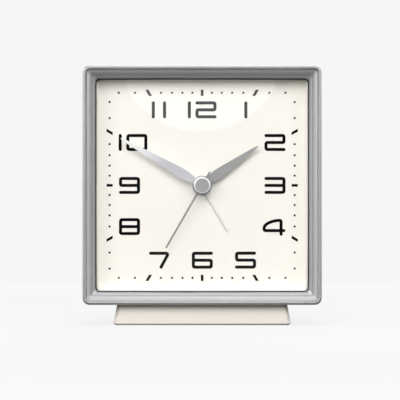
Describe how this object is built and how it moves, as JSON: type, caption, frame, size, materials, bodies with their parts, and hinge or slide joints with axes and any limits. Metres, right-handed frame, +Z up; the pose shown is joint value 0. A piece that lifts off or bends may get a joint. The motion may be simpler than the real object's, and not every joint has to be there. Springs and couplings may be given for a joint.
{
  "type": "table alarm clock",
  "caption": "Square table alarm clock with a stepped silver bezel, domed window, cream dial with plain numerals, and a low cream plinth.",
  "frame": {"origin": "middle of the overall box, on the table under the clock", "axes": "+X to the viewer's right, +Y from the dial towards the back, +Z up"},
  "size_m": [0.11, 0.045, 0.1195],
  "materials": {
    "silver_bezel": "satin, fine vertical sheen",
    "silver_case": "satin",
    "rear_plastic": "fine spark texture",
    "screw_steel": "zinc plated",
    "cream_plinth": "satin moulded",
    "base_rubber": "matt foam rubber",
    "seal_rubber": "matt",
    "window_lens": "clear, polished, domed",
    "dial_cream": "matt printed card and moulding",
    "dial_ink": "screen printed, matt",
    "hand_metal": "turned brass",
    "hour_hand_grey": "satin grey lacquer",
    "minute_hand_silver": "satin silver lacquer",
    "second_hand_grey": "satin grey lacquer",
    "cap_metal": "turned, bright edge",
    "alarm_hand_silver": "satin silver lacquer",
    "movement_plastic": "moulded",
    "gear_plastic": "moulded acetal",
    "gear_brass": "cut brass",
    "magnet_steel": "sintered and stamped",
    "knob_plastic": "black, satin",
    "coil_copper": "enamelled wire",
    "board_green": "solder mask",
    "chip_black": "moulded",
    "contact_nickel": "nickel plated",
    "switch_plastic": "moulded",
    "button_plastic": "black, satin",
    "battery_wrap": "plain sleeve",
    "lead_plastic": "insulated wire"
  },
  "bodies": {
    "case": {"alarm_contact": "contact_nickel", "base_pad": "base_rubber", "battery_cell": "battery_wrap", "battery_leads": "lead_plastic", "battery_plus_contact": "contact_nickel", "battery_spring": "contact_nickel", "bezel_frame": "silver_bezel", "case_shell": "silver_case", "circuit_board": "board_green", "circuit_chip": "chip_black", "coil_bobbin": "movement_plastic", "coil_winding": "coil_copper", "control_board": "board_green", "dial_hour_ticks": "dial_ink", "dial_minute_dots": "dial_ink", "dial_numerals": "dial_ink", "dial_nut": "hand_metal", "dial_plate": "dial_cream", "dial_surround": "dial_cream", "lens": "window_lens", "lens_seal": "seal_rubber", "link_wires": "lead_plastic", "movement_front_plate": "movement_plastic", "movement_rear_housing": "movement_plastic", "movement_screws": "screw_steel", "plinth": "cream_plinth", "plinth_screws": "screw_steel", "push_switch": "chip_black", "quartz_crystal": "contact_nickel", "rear_cover": "rear_plastic", "rear_cover_screws": "screw_steel", "slide_switch": "chip_black", "sounder_disc": "gear_brass", "sounder_leads": "lead_plastic", "stator_plate": "magnet_steel"},
    "second_train": {"second_wheel": "gear_plastic", "second_hand": "second_hand_grey", "second_hand_cap": "cap_metal"},
    "third_train": {"third_wheel": "gear_plastic"},
    "centre_train": {"centre_wheel": "gear_brass"},
    "step_train": {"step_wheel": "gear_plastic"},
    "rotor": {"rotor_pinion": "gear_plastic", "rotor_magnet": "magnet_steel"},
    "minute_train": {"cannon_pinion": "gear_brass", "minute_hand": "minute_hand_silver"},
    "motion_train": {"motion_wheel": "gear_plastic"},
    "hour_train": {"hour_wheel": "gear_plastic", "hour_hand": "hour_hand_grey"},
    "time_setting": {"time_set_gear": "gear_plastic", "time_set_knob": "knob_plastic"},
    "alarm_train": {"alarm_wheel": "gear_plastic", "alarm_hand": "alarm_hand_silver"},
    "alarm_idler_train": {"alarm_idler": "gear_plastic"},
    "alarm_setting": {"alarm_set_gear": "gear_plastic", "alarm_set_knob": "knob_plastic"},
    "alarm_slider": {"alarm_switch": "switch_plastic"},
    "snooze": {"snooze_button": "button_plastic"},
    "door": {"battery_door": "rear_plastic"}
  },
  "joints": [
    {"name": "second_spin", "type": "hinge", "parent": "case", "child": "second_train", "pos_m": [0, -0.0096, 0.0645], "axis": [0, 1, 0], "continuous": true},
    {"name": "third_spin", "type": "hinge", "parent": "case", "child": "third_train", "pos_m": [-0.00865, -0.0096, 0.06135], "axis": [0, 1, 0], "continuous": true},
    {"name": "centre_spin", "type": "hinge", "parent": "case", "child": "centre_train", "pos_m": [0, -0.0096, 0.0645], "axis": [0, 1, 0], "continuous": true},
    {"name": "step_spin", "type": "hinge", "parent": "case", "child": "step_train", "pos_m": [-0.00167, -0.0096, 0.07395], "axis": [0, 1, 0], "continuous": true},
    {"name": "rotor_spin", "type": "hinge", "parent": "case", "child": "rotor", "pos_m": [0.00323, -0.0096, 0.08244], "axis": [0, 1, 0], "continuous": true},
    {"name": "minute_spin", "type": "hinge", "parent": "case", "child": "minute_train", "pos_m": [0, -0.0096, 0.0645], "axis": [0, 1, 0], "continuous": true},
    {"name": "motion_spin", "type": "hinge", "parent": "case", "child": "motion_train", "pos_m": [0.00705, -0.0096, 0.06707], "axis": [0, 1, 0], "continuous": true},
    {"name": "hour_spin", "type": "hinge", "parent": "case", "child": "hour_train", "pos_m": [0, -0.0096, 0.0645], "axis": [0, 1, 0], "continuous": true},
    {"name": "time_set_spin", "type": "hinge", "parent": "case", "child": "time_setting", "pos_m": [0.0141, 0.0155, 0.0645], "axis": [0, 1, 0], "continuous": true},
    {"name": "alarm_spin", "type": "hinge", "parent": "case", "child": "alarm_train", "pos_m": [0, -0.0096, 0.0645], "axis": [0, 1, 0], "continuous": true},
    {"name": "alarm_idler_spin", "type": "hinge", "parent": "case", "child": "alarm_idler_train", "pos_m": [0, -0.0096, 0.054], "axis": [0, 1, 0], "continuous": true},
    {"name": "alarm_set_spin", "type": "hinge", "parent": "case", "child": "alarm_setting", "pos_m": [0, 0.0155, 0.0471], "axis": [0, 1, 0], "continuous": true},
    {"name": "alarm_switch_slide", "type": "slide", "parent": "case", "child": "alarm_slider", "axis": [0, 0, 1], "range_m": [0, 0.004]},
    {"name": "snooze_press", "type": "slide", "parent": "case", "child": "snooze", "axis": [0, -1, 0], "range_m": [0, 0.001], "stiffness_N_per_m": 400, "springref_m": -0.0005},
    {"name": "door_lift", "type": "slide", "parent": "case", "child": "door", "axis": [0, 1, 0], "range_m": [0, 0.02]}
  ],
  "couplings": [
    {"joint": "third_spin", "follows": "second_spin", "ratio": -0.13333},
    {"joint": "centre_spin", "follows": "second_spin", "ratio": 0.016667},
    {"joint": "step_spin", "follows": "second_spin", "ratio": -5},
    {"joint": "rotor_spin", "follows": "second_spin", "ratio": 30},
    {"joint": "motion_spin", "follows": "minute_spin", "ratio": -0.33333},
    {"joint": "hour_spin", "follows": "minute_spin", "ratio": 0.083333},
    {"joint": "time_set_spin", "follows": "minute_spin", "ratio": 1},
    {"joint": "alarm_idler_spin", "follows": "alarm_spin", "ratio": -1.3333},
    {"joint": "alarm_set_spin", "follows": "alarm_spin", "ratio": 2.5}
  ]
}
